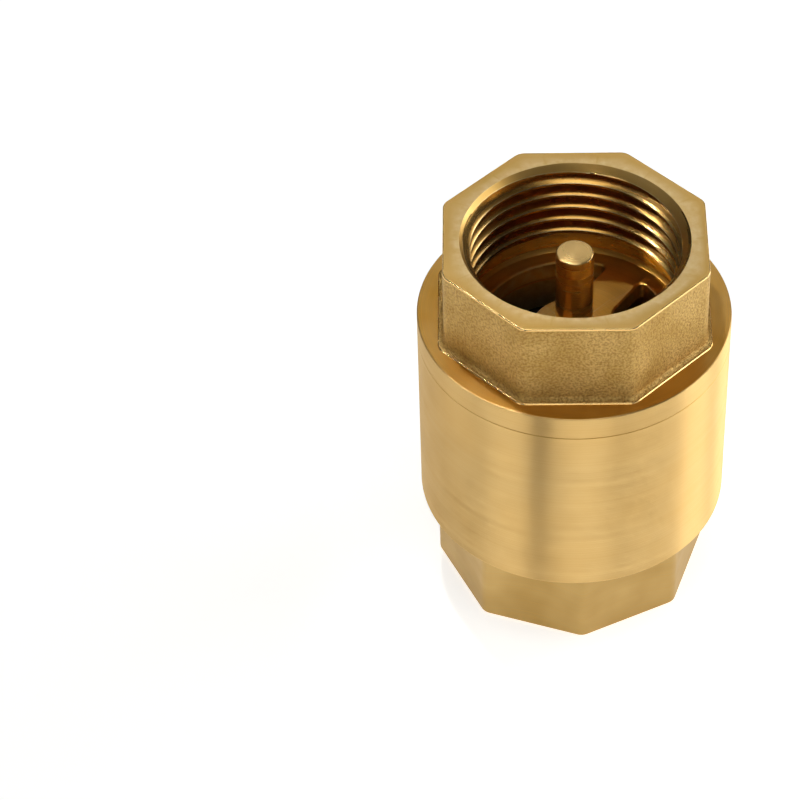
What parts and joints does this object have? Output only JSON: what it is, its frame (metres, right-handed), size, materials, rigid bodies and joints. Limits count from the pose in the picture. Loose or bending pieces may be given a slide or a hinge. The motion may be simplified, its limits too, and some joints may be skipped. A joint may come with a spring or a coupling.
{
  "type": "check valve",
  "caption": "Brass in-line spring check valve: octagon ends with female pipe threads on a round barrel, and a guided, rubber-faced poppet that opens with the flow.",
  "frame": {"origin": "centre of the outlet end face, which the valve stands on", "axes": "+Z along the valve's axis from the outlet end to the inlet end; two flats of the inlet octagon face +X and -X"},
  "size_m": [0.046, 0.046, 0.063],
  "materials": {
    "body_brass": "turned barrel, machined ends",
    "cap_brass": "shot-blasted forging, machined end face",
    "o_ring_rubber": "matte",
    "spring_steel": "drawn wire",
    "disc_brass": "turned",
    "stem_brass": "turned rod",
    "gasket_rubber": "matte",
    "retainer_brass": "turned",
    "washer_steel": "satin",
    "nut_steel": "satin"
  },
  "bodies": {
    "valve": {"valve_body": "body_brass", "end_cap": "cap_brass", "cap_o_ring": "o_ring_rubber", "return_spring": "spring_steel"},
    "poppet": {"poppet_disc": "disc_brass", "guide_stem": "stem_brass", "seat_gasket": "gasket_rubber", "gasket_retainer": "retainer_brass", "lock_washer": "washer_steel", "lock_nut": "nut_steel"}
  },
  "joints": [
    {"name": "poppet_lift", "type": "slide", "parent": "valve", "child": "poppet", "axis": [0, 0, -1], "range_m": [0, 0.0065], "stiffness_N_per_m": 440, "springref_m": -0.004, "deforming": ["return_spring"]}
  ]
}
